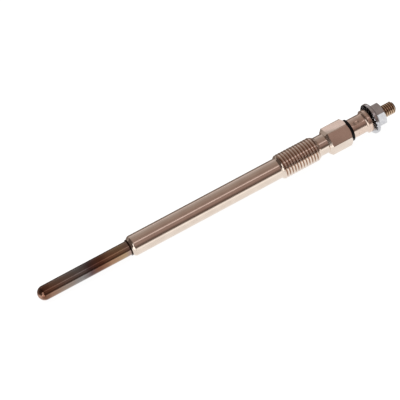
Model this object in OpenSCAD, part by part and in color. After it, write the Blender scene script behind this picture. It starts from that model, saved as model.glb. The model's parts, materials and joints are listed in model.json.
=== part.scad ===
// Diesel glow plug, lying on its side: glow tube towards -X, terminal stud towards +X.
// Every piece is turned about one axis. Stations along it are counted from the tip of the glow tube.

/* [Glow tube] */
// Outer diameter of the glow tube
tube_d = 4.6; // [4.2:0.1:4.8]
// Length of the glow tube that stands out of the body
tube_reach = 30.7; // [24:0.1:40]
// Length of the glow tube that is pressed into the body
tube_hold = 14; // [8:0.5:24]
// Wall thickness of the glow tube
tube_wall = 0.5; // [0.3:0.05:0.6]
// Length of the seal in the open end of the glow tube
seal_len = 4; // [2:0.5:6]

/* [Coils] */
// Mean diameter of both coils
coil_d = 1.9; // [1.7:0.05:2.2]
// Wire diameter of the heating coil
heat_wire = 0.36; // [0.25:0.01:0.45]
// Turns of the heating coil
heat_turns = 7; // [4:1:10]
// Rise of the heating coil for each turn
heat_pitch = 0.75; // [0.6:0.05:1]
// Wire diameter of the regulating coil
control_wire = 0.3; // [0.2:0.01:0.4]
// Turns of the regulating coil
control_turns = 14; // [6:1:18]
// Rise of the regulating coil for each turn
control_pitch = 0.62; // [0.5:0.02:0.8]

/* [Body] */
// Diameter of the nose, at the small end of the sealing cone
nose_d = 5.2; // [5:0.1:5.8]
// Length of the nose
nose_land = 0.45; // [0.2:0.05:1]
// Included angle of the sealing cone
seat_angle = 84; // [60:1:120]
// Diameter of the shank
shank_d = 6.6; // [6.2:0.1:7]
// Distance from the nose to the start of the thread
nose_to_thread = 52.6; // [40:0.2:70]
// Major diameter of the body thread
thread_d = 8; // [7.5:0.25:9]
// Length of the body thread with its lead-in at both ends
thread_len = 14.3; // [8:0.1:24]
// Pitch of the body thread
thread_pitch = 1; // [0.75:0.25:1.25]
// Length over which the first groove reaches its full depth
thread_run_in = 1.6; // [1:0.1:3]
// Angle between the axis and the cone that ends the thread at the neck
thread_end_angle = 30; // [20:1:45]
// Diameter of the neck under the hexagon
neck_d = 6.4; // [6.2:0.1:7]
// Length of the neck
neck_len = 2.9; // [1:0.1:8]
// Width of the hexagon across its flats
hex_af = 8; // [8:0.25:10]
// Length of the hexagon
hex_len = 8; // [6:0.1:12]
// Width of the hexagon across its flats at the neck, where it starts to widen
hex_base_af = 6.55; // [6.45:0.1:7.45]
// Length over which the hexagon widens
hex_taper = 0.85; // [0.5:0.05:2]
// Diameter of the hexagon's face at the terminal end
hex_face_d = 7.7; // [7.4:0.1:7.9]
// Angle of the chamfer on the hexagon's corners at the terminal end
hex_chamfer_angle = 35; // [20:1:45]
// Bore of the body round the centre rod
bore_d = 4.4; // [4.3:0.1:5]
// Diameter of the seal pocket in the hexagon
pocket_d = 6; // [5.6:0.1:6.4]
// Depth of the seal pocket
pocket_depth = 4.2; // [3:0.1:6]

/* [Centre rod] */
// Diameter of the rod in the body
rod_d = 3.2; // [2.8:0.1:3.8]
// Diameter of the rod in the glow tube
pole_d = 2.4; // [2:0.1:2.8]
// Distance from the open end of the glow tube to the rod's full diameter
rod_step = 0.5; // [0.3:0.1:2]
// Length of the pin that carries the regulating coil
pin_len = 2; // [1:0.1:4]
// Major diameter of the terminal stud
stud_d = 4; // [3.9:0.1:4.2]
// Length of the stud inside the body, below the seal pocket
stud_land = 1; // [0.4:0.1:4]
// Length of the stud beyond the nut
stud_reach = 4.6; // [2:0.1:12]
// Chamfer on the end of the stud
stud_chamfer = 0.6; // [0.2:0.05:0.8]

/* [Terminal] */
// Diameter of the insulating bush's flange
bush_d = 7.2; // [6.8:0.1:7.6]
// Thickness of the insulating bush's flange
bush_t = 1.05; // [0.6:0.05:2]
// Diameter of the terminal sleeve
sleeve_d = 6.25; // [5.8:0.05:6.6]
// Length of the terminal sleeve
sleeve_len = 6.85; // [5.5:0.05:12]
// Diameter of the sleeve's collar
collar_d = 7.5; // [6.8:0.05:8]
// Length of the sleeve's collar, from the end of the flare
collar_len = 1.35; // [0.8:0.05:2]
// Length of the flare that leads to the collar
flare_len = 0.9; // [0.6:0.05:1.6]
// Distance of the groove in the collar from the sleeve's outer end
groove_offset = 0.55; // [0.3:0.05:0.7]
// Width of the groove in the collar
groove_w = 0.22; // [0.1:0.02:0.4]
// Depth of the groove in the collar
groove_depth = 0.14; // [0.05:0.01:0.3]
// Number of crimp marks round the sleeve
crimps = 6; // [3:1:8]
// Distance of the crimp marks from the sleeve's inner end
crimp_offset = 2.1; // [1.4:0.05:2.4]
// Depth of each crimp mark
crimp_depth = 0.28; // [0.1:0.02:0.5]
// Radius of the punch that makes the crimp marks
crimp_radius = 1.6; // [1:0.1:2.5]

/* [Flange nut] */
// Gap under the nut, which opens when a lead's ring is put on
lead_gap = 0.1; // [0.1:0.05:3]
// Width of the nut across its flats
nut_af = 7; // [6.5:0.1:8]
// Diameter of the nut's top face
nut_face_d = 6.65; // [6:0.05:6.9]
// Angle of the chamfer on the nut's corners
nut_chamfer_angle = 30; // [20:1:45]
// Countersink at the top of the nut's bore
nut_countersink = 0.3; // [0.1:0.05:0.6]
// Height of the nut with its flange
nut_h = 4.8; // [4.2:0.05:6]
// Diameter of the nut's flange
flange_d = 10; // [9.4:0.1:12]
// Thickness of the flange at its rim
flange_t = 1.5; // [1:0.05:2]
// Chamfer under the flange's rim
flange_edge = 0.45; // [0.25:0.05:0.6]
// Slope of the flange's top
flange_slope = 25; // [15:1:30]
// Number of serrations under the flange
serrations = 24; // [12:1:30]
// Share of each serration's pitch that is cut away
serration_share = 0.8; // [0.4:0.05:0.9]
// Depth of the serrations
serration_depth = 0.22; // [0.1:0.02:0.3]
// Inner diameter of the serrated ring
serration_d = 7.6; // [6.4:0.1:8.6]
// Depth of the recess inside the serrated ring
recess_depth = 0.35; // [0.2:0.05:0.5]

/* [Fits] */
// Gap on the radius at pressed, crimped and threaded fits
fit_gap = 0.02; // [0.01:0.01:0.04]

/* [Hidden] */
$fn = 96;

// Reach of a cutting tool past the face that it cuts
past = 0.5;

// Radii of the turned pieces
tube_r = tube_d / 2;
core_r = tube_r - tube_wall;
nose_r = nose_d / 2;
shank_r = shank_d / 2;
thread_r = thread_d / 2;
neck_r = neck_d / 2;
hex_corner_r = hex_af / 2 / cos(30);
stud_r = stud_d / 2;
stud_end_r = stud_r - stud_chamfer;
sleeve_r = sleeve_d / 2;
collar_r = collar_d / 2;
flange_r = flange_d / 2;

// Stations along the axis, from the tip
nose_u = tube_reach;
cone_u = nose_u + nose_land;
seat_u = cone_u + (shank_r - nose_r) / tan(seat_angle / 2);
tube_end = nose_u + tube_hold;
thread_u = nose_u + nose_to_thread;
thread_full_u = thread_u + thread_r - shank_r;
neck_u = thread_u + thread_len;
thread_full_end = neck_u - (thread_r - neck_r) / tan(thread_end_angle);
hex_u = neck_u + neck_len;
hex_end = hex_u + hex_len;
hex_mid = (hex_u + hex_end) / 2;
pocket_u = hex_end - pocket_depth;
sleeve_u = hex_end + bush_t;
sleeve_end = sleeve_u + sleeve_len;
nut_u = sleeve_end + lead_gap;
rim_u = nut_u + flange_edge;
nut_end = nut_u + nut_h;
stud_end = nut_end + stud_reach;

// The O-ring fills the pocket between the rod and the wall, and the bush closes the pocket
o_ring_r = (pocket_d / 2 - stud_r) / 2 - fit_gap;
o_ring_mid_r = (pocket_d / 2 + stud_r) / 2;
bush_spigot_u = pocket_u + 2 * (o_ring_r + fit_gap);
rod_shoulder_u = pocket_u - stud_land;

// Coil stations: the heating coil starts on the axis at the tip, the regulating coil goes on from it
wire_sides = 6;
turn_steps = 14;
coil_r = coil_d / 2;
heat_u = tube_wall + heat_wire / 2 + fit_gap;
heat_end = heat_u + heat_turns * heat_pitch;
weld_angle = (2 * fit_gap / coil_r) * 180 / PI;
control_end = heat_end + control_turns * control_pitch;
pin_r = coil_r - control_wire / 2 - fit_gap;
pin_u = control_end - pin_len;
pole_u = control_end + control_wire / 2 + fit_gap;

// Outline of a metric thread's groove, and how far its cutter stands out of the thread
groove_share = 0.6134;
groove_flat = thread_pitch / 6;
groove_over = 0.08 * thread_pitch;
groove_steps = 24;

// Turns that keep the seams of the body and of the flange off the line on which the plug rests
seam_turn = 3.9;
flange_turn = 2.53;

// Turns about the axis that bring a hexagon's flat, a nut's corner and a crimp mark to the upper front
hex_turn = 58;
nut_turn = 24;
crimp_turn = 5;

// The plug rests on the edge of the sealing cone and on whatever stands out most further along
hex_low_r = hex_corner_r * cos(60 - hex_turn);
hex_low_u = hex_u + hex_taper;
supports = [[thread_full_u, thread_r], [hex_low_u, hex_low_r], [sleeve_end, collar_r], [rim_u, flange_r]];
lie_tilt = max([for (s = supports) atan((s[1] - shank_r) / (s[0] - seat_u))]);
tip_z = shank_r * cos(lie_tilt) - seat_u * sin(lie_tilt);
low_x = tube_r * (cos(lie_tilt) - 1);
high_x = stud_end * cos(lie_tilt) + stud_end_r * sin(lie_tilt);
tip_x = -(low_x + high_x) / 2;

// Lays a piece that is modelled upright, tip down, on its side
module lie() {
    translate([tip_x, 0, tip_z]) rotate([0, 90 - lie_tilt, 0]) children();
}

// A round hole along the axis
module drill(d, from, to) {
    translate([0, 0, from]) cylinder(d = d, h = to - from);
}

// Half section of a round-ended rod that starts at the origin
module round_end_section(r, len) {
    intersection() {
        union() {
            translate([0, r]) circle(r);
            translate([0, r]) square([r, len - r]);
        }
        square([r, len]);
    }
}

// Half section of a ring
module ring_section(inner_r, outer_r, from, to) {
    translate([inner_r, from]) square([outer_r - inner_r, to - from]);
}

// A hexagonal bar whose far end is chamfered down to a round face
module chamfered_hex(af, from, to, face_d, angle, turn) {
    over_r = af / 2 / cos(30) + past;
    intersection() {
        translate([0, 0, from]) rotate(turn) cylinder(d = af / cos(30), h = to - from, $fn = 6);
        rotate_extrude() polygon([
            [0, from - past],
            [over_r, from - past],
            [over_r, to - (over_r - face_d / 2) * tan(angle)],
            [face_d / 2, to],
            [0, to]
        ]);
    }
}

// The body's hexagon, which widens from the neck
module body_hex() {
    widening = (hex_af - hex_base_af) / hex_taper;
    reach = hex_len + past;
    intersection() {
        chamfered_hex(hex_af, hex_u - past, hex_end, hex_face_d, hex_chamfer_angle, hex_turn);
        translate([0, 0, hex_u]) rotate(hex_turn) cylinder(
            d1 = hex_base_af / cos(30),
            d2 = (hex_base_af + widening * reach) / cos(30),
            h = reach,
            $fn = 6
        );
    }
}

// One place on a coil: [centre, direction of the wire].
// A coil that starts on the axis opens out over its first turn.
function coil_place(angle, u, rise, opens) =
    let (
        opening = opens && angle < 360,
        r = opening ? coil_r * sin(angle / 4) : coil_r,
        spread = opening ? coil_r * cos(angle / 4) / 4 : 0,
        across = [cos(angle), sin(angle), 0],
        along = [-sin(angle), cos(angle), 0],
        way = spread * across + r * along + [0, 0, rise / 360 * 180 / PI]
    )
    [r * across + [0, 0, u], way / norm(way)];

// The ring of points round the wire at one place
function wire_ring(place, r) =
    let (
        side = cross(place[1], [0, 0, 1]) / norm(cross(place[1], [0, 0, 1])),
        up = cross(place[1], side)
    )
    [for (i = [0:wire_sides - 1])
        let (a = 360 * i / wire_sides)
        place[0] + r * (cos(a) * side + sin(a) * up)];

// A solid swept through rings of points
module sweep(rings) {
    sides = len(rings[0]);
    last = (len(rings) - 1) * sides;
    polyhedron(
        points = [for (ring = rings) each ring],
        faces = concat(
            [[for (i = [0:sides - 1]) i]],
            [for (k = [0:len(rings) - 2], i = [0:sides - 1])
                let (a = k * sides + i, b = k * sides + (i + 1) % sides)
                each [[a, a + sides, b + sides], [a, b + sides, b]]],
            [[for (i = [sides - 1:-1:0]) last + i]]
        )
    );
}

// A wire swept along a list of places
module wire(places, r) {
    sweep([for (p = places) wire_ring(p, r)]);
}

// The section of the thread's groove after some turns, which sinks in over the run-in
function groove_ring(turns) =
    let (
        angle = 360 * turns,
        u = thread_full_u + thread_pitch * turns,
        sunk = min(1, thread_pitch * turns / thread_run_in),
        top = thread_r + groove_over,
        bottom = top - groove_over / 2 - (groove_share * thread_pitch + groove_over / 2) * sunk,
        low = groove_flat / 2,
        high = low + (top - bottom) * tan(30)
    )
    [for (p = [[top, high], [top, -high], [bottom, -low], [bottom, low]])
        [p[0] * cos(angle), p[0] * sin(angle), u + p[1]]];

// The helical groove of the body thread, cut on past the thread's end
module thread_groove() {
    turns = (neck_u - thread_full_u) / thread_pitch + 0.5;
    sweep([for (k = [0:ceil(turns * groove_steps)]) groove_ring(k / groove_steps)]);
}

// The heating coil's wire, which can be thickened to cut its channel
module heating_wire(extra = 0) {
    steps = heat_turns * turn_steps;
    wire(
        [for (k = [0:steps])
            let (turns = k / turn_steps)
            coil_place(360 * turns, heat_u + heat_pitch * turns, heat_pitch, true)],
        heat_wire / 2 + extra
    );
}

// The regulating coil's wire, which can be thickened to cut its channel
module regulating_wire(extra = 0) {
    steps = control_turns * turn_steps;
    first = 360 * heat_turns + weld_angle;
    wire(
        [for (k = [0:steps])
            let (turns = k / turn_steps)
            coil_place(first + 360 * turns, heat_end + control_pitch * turns, control_pitch, false)],
        control_wire / 2 + extra
    );
}

// The rod's lower end in the glow tube, which can be thickened to cut its channel
module rod_foot(extra, to) {
    drill(2 * (pin_r + extra), pin_u - extra, pole_u);
    drill(pole_d + 2 * extra, pole_u - extra, to);
}

module glow_tube() {
    color([0.32, 0.23, 0.18]) lie() rotate_extrude() difference() {
        round_end_section(tube_r, tube_end);
        translate([0, tube_wall]) round_end_section(core_r, tube_end);
    }
}

module heating_coil() {
    color([0.55, 0.5, 0.45]) lie() heating_wire();
}

module regulating_coil() {
    color([0.62, 0.58, 0.55]) lie() regulating_wire();
}

module magnesia_filling() {
    fill_end = tube_end - seal_len - fit_gap;
    fill_u = tube_wall + fit_gap;
    color([0.92, 0.91, 0.88]) lie() difference() {
        rotate_extrude() translate([0, fill_u]) round_end_section(core_r - fit_gap, fill_end - fill_u);
        heating_wire(fit_gap);
        regulating_wire(fit_gap);
        rod_foot(fit_gap, fill_end + past);
    }
}

module tube_seal() {
    color([0.2, 0.2, 0.2]) lie() rotate_extrude()
        ring_section(pole_d / 2 + fit_gap, core_r - fit_gap, tube_end - seal_len, tube_end);
}

// The body's neck runs on to the middle of the hexagon, so that the two are one piece
module body() {
    color([0.62, 0.53, 0.48]) lie() difference() {
        union() {
            rotate(seam_turn) rotate_extrude() polygon([
                [0, nose_u],
                [nose_r, nose_u],
                [nose_r, cone_u],
                [shank_r, seat_u],
                [shank_r, thread_u],
                [thread_r, thread_full_u],
                [thread_r, thread_full_end],
                [neck_r, neck_u],
                [neck_r, hex_mid],
                [0, hex_mid]
            ]);
            body_hex();
        }
        thread_groove();
        drill(tube_d + 2 * fit_gap, nose_u - past, tube_end + fit_gap);
        drill(bore_d, tube_end, hex_end);
        drill(pocket_d, pocket_u, hex_end + past);
    }
}

module centre_rod() {
    color([0.33, 0.25, 0.18]) lie() rotate_extrude() polygon([
        [0, pin_u],
        [pin_r, pin_u],
        [pin_r, pole_u],
        [pole_d / 2, pole_u],
        [pole_d / 2, tube_end + rod_step],
        [rod_d / 2, tube_end + rod_step],
        [rod_d / 2, rod_shoulder_u],
        [stud_r, rod_shoulder_u],
        [stud_r, stud_end - stud_chamfer],
        [stud_end_r, stud_end],
        [0, stud_end]
    ]);
}

module o_ring() {
    color([0.12, 0.12, 0.12]) lie() rotate_extrude()
        translate([o_ring_mid_r, pocket_u + o_ring_r + fit_gap]) circle(o_ring_r);
}

module insulating_bush() {
    color([0.05, 0.05, 0.05]) lie() rotate_extrude() union() {
        ring_section(stud_r + fit_gap, pocket_d / 2 - fit_gap, bush_spigot_u, sleeve_u);
        ring_section(stud_r + fit_gap, bush_d / 2, hex_end, sleeve_u);
    }
}

module terminal_sleeve() {
    collar_u = sleeve_end - collar_len;
    flare_rise = collar_r - sleeve_r;
    flare_r = (flare_rise * flare_rise + flare_len * flare_len) / (2 * flare_rise);
    groove_u = sleeve_end - groove_offset;
    color([0.6, 0.52, 0.46]) lie() difference() {
        rotate_extrude() difference() {
            union() {
                ring_section(stud_r + fit_gap, sleeve_r, sleeve_u, sleeve_end);
                ring_section(stud_r + fit_gap, collar_r, collar_u - flare_len, sleeve_end);
            }
            translate([sleeve_r + flare_r, collar_u - flare_len]) circle(flare_r);
            translate([collar_r - groove_depth, groove_u - groove_w / 2]) square([past, groove_w]);
        }
        for (i = [0:crimps - 1])
            rotate(crimp_turn + 360 * i / crimps)
                translate([sleeve_r + crimp_radius - crimp_depth, 0, sleeve_u + crimp_offset])
                    sphere(crimp_radius);
    }
}

module serration() {
    width = PI * serration_d / serrations * serration_share;
    translate([serration_d / 2 - past, 0, nut_u]) rotate([90, 0, 90])
        linear_extrude(flange_r - serration_d / 2 + 2 * past)
            polygon([[0, -past], [width, -past], [width, 0], [0, serration_depth]]);
}

module flange_nut() {
    top_u = nut_u + flange_t;
    neck_rise = (flange_r - stud_r) * tan(flange_slope);
    bar_u = nut_u + flange_t / 2;
    color([0.75, 0.75, 0.77]) lie() difference() {
        union() {
            rotate(flange_turn) rotate_extrude() polygon([
                [0, nut_u],
                [flange_r - flange_edge, nut_u],
                [flange_r, rim_u],
                [flange_r, top_u],
                [stud_r, top_u + neck_rise],
                [0, top_u + neck_rise]
            ]);
            chamfered_hex(nut_af, bar_u, nut_end, nut_face_d, nut_chamfer_angle, nut_turn);
        }
        drill(stud_d + 2 * fit_gap, nut_u - past, nut_end + past);
        drill(serration_d, nut_u - past, nut_u + recess_depth);
        translate([0, 0, nut_end - nut_countersink])
            cylinder(r1 = stud_r, r2 = stud_r + nut_countersink + past, h = nut_countersink + past);
        for (i = [0:serrations - 1])
            rotate(360 * i / serrations) serration();
    }
}

glow_tube();
heating_coil();
regulating_coil();
magnesia_filling();
tube_seal();
body();
centre_rod();
o_ring();
insulating_bush();
terminal_sleeve();
flange_nut();
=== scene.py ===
import json
import math
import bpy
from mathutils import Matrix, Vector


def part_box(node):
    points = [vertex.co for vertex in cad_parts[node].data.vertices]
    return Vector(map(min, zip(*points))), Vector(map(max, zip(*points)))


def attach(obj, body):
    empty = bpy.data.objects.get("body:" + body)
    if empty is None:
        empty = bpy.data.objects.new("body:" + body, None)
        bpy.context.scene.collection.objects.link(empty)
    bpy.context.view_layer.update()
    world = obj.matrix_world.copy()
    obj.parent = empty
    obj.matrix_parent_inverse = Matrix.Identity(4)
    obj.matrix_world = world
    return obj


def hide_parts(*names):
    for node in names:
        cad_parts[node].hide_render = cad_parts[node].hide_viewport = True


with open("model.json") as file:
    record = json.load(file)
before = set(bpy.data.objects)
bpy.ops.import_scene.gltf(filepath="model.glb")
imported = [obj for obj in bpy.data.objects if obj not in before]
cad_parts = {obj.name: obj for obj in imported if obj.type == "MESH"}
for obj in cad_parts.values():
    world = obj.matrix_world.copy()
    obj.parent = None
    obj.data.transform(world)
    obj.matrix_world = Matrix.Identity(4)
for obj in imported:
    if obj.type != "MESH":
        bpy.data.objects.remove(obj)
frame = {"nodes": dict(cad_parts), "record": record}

from types import SimpleNamespace

import bpy
from mathutils import Vector

bl_info = {
    "name": "Diesel Glow Plug",
    "version": (1, 0, 0),
    "blender": (4, 5, 0),
    "location": "3D View > Sidebar > Glow Plug",
    "description": "Models and finishes the visible pieces of a diesel glow plug in its CAD frame",
    "category": "Object",
}

# Pieces are modelled upright in millimetres, tip down, and then laid in the frame
MM = 1000.0
# Distance at which points merge
MERGE = 0.0005
# Room between a piece and its bore
FIT = 0.02
# Run of a tool past what it cuts
PAST = 1.0
# Depth to which the ends of a thread are buried
SUNK = 0.3
# Radius on the nose of the body, and where its sealing cone meets the shank
NOSE_EDGE, SEAT_EDGE = 0.05, 1.0

# Faces round a turned piece and round a thread, and turns of a thread that are trimmed away
SIDES, THREAD_SIDES, SPARE_TURNS = 96, 80, 2
# Steps along the tube's tip, the sleeve's flare, a rounded corner and a softened edge
TIP_STEPS, FLARE_STEPS, CORNER_STEPS, EDGE_STEPS = 20, 10, 3, 4
# Segments and rings of the punch that leaves a crimp mark
PUNCH_SEGMENTS, PUNCH_RINGS = 64, 32
# Largest angle in degrees that is shaded smooth, on most pieces and on the body
SMOOTH, BODY_SMOOTH = 35, 25

COS30 = math.cos(math.radians(30))
TAN30 = math.tan(math.radians(30))

# Outline of both threads in shares of the pitch, with wider crests than a standard thread has
DEPTH_SHARE = 0.46
ROOT_SHARE = 0.06
ROOT_ROUND = 0.02
CREST_ROUND = 0.05

# Depth below the crests at which the painted shade in the two threads starts
BODY_UNSHADED, STUD_UNSHADED = 0.06, 0.05
# Height over which a stain, and the painted shade under the flange, fades
STAIN_AND_SHADE_FADE = 1.0
# Range in which most of a noise lies
NOISE_LOW, NOISE_HIGH = 0.3, 0.7
# Levels of the spots under the flange up to which they are painted shade, and from which they are painted
# highlight
SHADE_LEVEL, HIGHLIGHT_LEVEL = 0.56, 0.64

# Heat tints of the glow tube by the share of its reach; the light first two stops at the tip are partly a
# painted highlight
HEAT_TINTS_AND_TIP_HIGHLIGHT = [
    (0.0, (178, 140, 122)), (0.03, (170, 132, 114)), (0.06, (106, 72, 56)), (0.15, (138, 106, 88)),
    (0.28, (138, 120, 108)), (0.45, (128, 124, 122)), (0.56, (92, 74, 74)), (0.66, (114, 78, 62)),
    (0.8, (150, 116, 92)), (0.92, (160, 136, 108)), (1.0, (150, 128, 118)),
]

# Places of the colour sockets on a Mix node
MIX_A, MIX_B, MIX_OUT = 6, 7, 2
# Distance between nodes in the editor
NODE_STEP = 200


# Settings

def length(name, description, default):
    return bpy.props.FloatProperty(
        name=name, description=description, default=default, min=0.0, unit="LENGTH", precision=5
    )


def offset(name, description, default):
    return bpy.props.FloatProperty(name=name, description=description, default=default, unit="LENGTH")


def angle(name, description, degrees):
    return bpy.props.FloatProperty(
        name=name, description=description, default=math.radians(degrees), subtype="ANGLE"
    )


def count(name, description, default):
    return bpy.props.IntProperty(name=name, description=description, default=default, min=3)


def colour(red, green, blue):
    """A colour given as 0 to 255, as the shaders need it"""
    def linear(c):
        c /= 255
        return c / 12.92 if c <= 0.04045 else ((c + 0.055) / 1.055) ** 2.4
    return (linear(red), linear(green), linear(blue), 1.0)


def tone(name, description, red, green, blue):
    return bpy.props.FloatVectorProperty(
        name=name, description=description, default=colour(red, green, blue),
        size=4, min=0.0, max=1.0, subtype="COLOR",
    )


class TubeSettings(bpy.types.PropertyGroup):
    """Sizes of the glow tube"""

    diameter: length("Diameter", "Outer diameter", 0.0046)
    reach: length("Reach", "Length that stands out of the body", 0.0307)
    hold: length("Hold", "Length that is pressed into the body", 0.014)
    wall: length("Wall", "Wall thickness", 0.0005)


class BodySettings(bpy.types.PropertyGroup):
    """Sizes of the body"""

    nose_d: length("Nose", "Diameter at the small end of the sealing cone", 0.0052)
    nose_land: length("Nose Length", "Length of the nose", 0.00045)
    seat_angle: angle("Seat Angle", "Included angle of the sealing cone", 84)
    shank_d: length("Shank", "Diameter of the shank", 0.0066)
    nose_to_thread: length("Nose to Thread", "Distance from the nose to the thread", 0.0526)
    thread_d: length("Thread", "Major diameter of the thread", 0.008)
    thread_pitch: length("Pitch", "Pitch of the thread", 0.001)
    thread_len: length("Thread Length", "Length of the thread with both lead-ins", 0.0143)
    run_in: length("Run-in", "Length over which the first groove reaches its depth", 0.0009)
    thread_end_angle: angle("End Angle", "Angle of the cone that ends the thread at the neck", 30)
    neck_d: length("Neck", "Diameter of the neck", 0.0064)
    neck_len: length("Neck Length", "Length of the neck", 0.0029)
    hex_af: length("Hexagon", "Width across the flats", 0.008)
    hex_len: length("Hexagon Length", "Length of the hexagon", 0.008)
    hex_base_af: length("Hexagon Base", "Width across the flats where the hexagon starts to widen", 0.00655)
    hex_taper: length("Hexagon Taper", "Length over which the hexagon widens", 0.00085)
    hex_face_d: length("Hexagon Face", "Diameter of the face at the terminal end", 0.0077)
    hex_chamfer: angle("Hexagon Chamfer", "Angle of the chamfer on the corners at the terminal end", 35)
    hex_turn: angle("Hexagon Turn", "Turn of the hexagon about the axis", 58)
    hex_edge: length("Hexagon Edge", "Width of the softening on the long edges", 0.00024)
    bore_d: length("Bore", "Bore round the centre rod", 0.0044)
    pocket_d: length("Pocket", "Diameter of the seal pocket", 0.006)
    pocket_depth: length("Pocket Depth", "Depth of the seal pocket", 0.0042)


class RodSettings(bpy.types.PropertyGroup):
    """Sizes of the centre rod and its terminal stud"""

    pin_d: length("Pin", "Diameter of the pin in the regulating coil", 0.00156)
    pin_start: length("Pin Start", "Distance of the pin's end from the tip", 0.01263)
    pole_d: length("Pole", "Diameter in the glow tube", 0.0024)
    pole_start: length("Pole Start", "Distance of the pole's end from the tip", 0.0148)
    step: length("Step", "Distance from the tube's open end to the full diameter", 0.0005)
    rod_d: length("Rod", "Diameter in the body", 0.0032)
    stud_d: length("Stud", "Major diameter of the stud", 0.004)
    stud_pitch: length("Pitch", "Pitch of the stud's thread", 0.0007)
    stud_land: length("Land", "Length of the stud below the seal pocket", 0.001)
    stud_plain: length("Plain", "Length of the sleeve that sits on plain stud", 0.0045)
    stud_reach: length("Reach", "Length of the stud beyond the nut", 0.004598)
    stud_chamfer: length("Chamfer", "Chamfer on the end of the stud", 0.0006)


class TerminalSettings(bpy.types.PropertyGroup):
    """Sizes of the insulating bush and the terminal sleeve"""

    bush_d: length("Bush", "Diameter of the bush's flange", 0.0072)
    bush_t: length("Bush Thickness", "Thickness of the bush's flange", 0.00105)
    sleeve_d: length("Sleeve", "Diameter of the sleeve", 0.00625)
    sleeve_len: length("Sleeve Length", "Length of the sleeve", 0.00685)
    collar_d: length("Collar", "Diameter of the collar", 0.0075)
    collar_len: length("Collar Length", "Length of the collar", 0.00135)
    flare_len: length("Flare", "Length of the flare that leads to the collar", 0.0009)
    groove_offset: length("Groove Offset", "Distance of the groove from the outer end", 0.00055)
    groove_w: length("Groove Width", "Width of the groove in the collar", 0.00022)
    groove_depth: length("Groove Depth", "Depth of the groove in the collar", 0.00014)
    crimps: count("Crimps", "Number of crimp marks", 6)
    crimp_offset: length("Crimp Offset", "Distance of the marks from the inner end", 0.0021)
    crimp_depth: length("Crimp Depth", "Depth of each mark", 0.0002)
    crimp_radius: length("Crimp Radius", "Radius of the punch", 0.0022)
    crimp_turn: angle("Crimp Turn", "Turn of the first mark about the axis", 5)
    edge: length("Edge", "Radius on outer edges", 0.00018)


class NutSettings(bpy.types.PropertyGroup):
    """Sizes of the flange nut"""

    lead_gap: length("Lead Gap", "Gap between the sleeve and the nut", 0.0001)
    af: length("Hexagon", "Width across the flats", 0.007)
    face_d: length("Face", "Diameter of the top face", 0.00665)
    chamfer: angle("Chamfer", "Angle of the chamfer on the corners", 30)
    turn: angle("Turn", "Turn of the hexagon about the axis", 24)
    edge: length("Edge", "Width of the softening on the long edges", 0.00015)
    countersink: length("Countersink", "Countersink of the bore", 0.0003)
    height: length("Height", "Height with the flange", 0.0048)
    flange_d: length("Flange", "Diameter of the flange", 0.00998)
    flange_t: length("Flange Thickness", "Thickness of the flange at its rim", 0.0015)
    flange_edge: length("Flange Edge", "Chamfer under the flange's rim", 0.00045)
    flange_slope: angle("Flange Slope", "Slope of the flange's top", 25)
    rim: length("Rim", "Radius on the flange's rim", 0.0004)
    serrations: count("Serrations", "Number of serrations", 24)
    serration_share: bpy.props.FloatProperty(
        name="Serration Share", description="Share of each pitch that is cut away",
        default=0.8, min=0.1, max=0.95, subtype="FACTOR",
    )
    serration_depth: length("Serration Depth", "Depth of the serrations", 0.00022)
    serration_d: length("Serrated Ring", "Inner diameter of the serrated ring", 0.0076)
    recess: length("Recess", "Depth of the recess inside the ring", 0.00035)


class FinishSettings(bpy.types.PropertyGroup):
    """Colours of the finishes, most of them from a dark tone to a light one"""

    nickel_dark: tone("Nickel Dark", "Dark tone of the nickel on the body", 222, 206, 192)
    nickel_light: tone("Nickel Light", "Light tone of the nickel on the body", 234, 219, 205)
    burnt_dark: tone("Burnt Dark", "Dark tone of the burnt nose", 40, 28, 22)
    burnt_light: tone("Burnt Light", "Light tone of the burnt nose", 58, 42, 34)
    # Painted shade at the bottom of the body's thread
    groove: tone("Groove", "Colour at the bottom of the body's thread", 178, 146, 128)
    steel_dark: tone("Steel Dark", "Dark tone of the centre rod", 194, 164, 134)
    steel_light: tone("Steel Light", "Light tone of the centre rod", 216, 190, 164)
    # Painted shade at the bottom of the stud's thread
    stud_groove: tone("Stud Groove", "Colour at the bottom of the stud's thread", 36, 22, 13)
    insulator_dark: tone("Insulator Dark", "Dark tone of the insulating bush", 6, 5, 5)
    insulator_light: tone("Insulator Light", "Light tone of the insulating bush", 12, 11, 11)
    sleeve_dark: tone("Sleeve Dark", "Dark tone of the terminal sleeve", 218, 196, 180)
    sleeve_light: tone("Sleeve Light", "Light tone of the terminal sleeve", 234, 214, 200)
    zinc_dark: tone("Zinc Dark", "Dark tone of the flange nut", 192, 192, 195)
    zinc_light: tone("Zinc Light", "Light tone of the flange nut", 212, 212, 214)
    # Painted shade under the upper half of the flange
    flange_shade: tone("Flange Shade", "Colour of the grease under the flange", 14, 13, 13)
    # Specks of painted highlight in the painted shade under the flange
    flange_speck_highlight: tone("Bare Spots", "Colour of the bare spots in the grease", 225, 225, 230)
    heater_dark: tone("Heater Dark", "Dark tone of the heating coil", 150, 138, 126)
    heater_light: tone("Heater Light", "Light tone of the heating coil", 182, 172, 160)
    control_dark: tone("Control Dark", "Dark tone of the regulating coil", 168, 164, 160)
    control_light: tone("Control Light", "Light tone of the regulating coil", 198, 194, 190)
    magnesia_dark: tone("Magnesia Dark", "Dark tone of the filling", 226, 222, 212)
    magnesia_light: tone("Magnesia Light", "Light tone of the filling", 242, 240, 234)
    rubber_dark: tone("Rubber Dark", "Dark tone of the seals", 26, 26, 27)
    rubber_light: tone("Rubber Light", "Light tone of the seals", 40, 39, 39)


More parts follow.
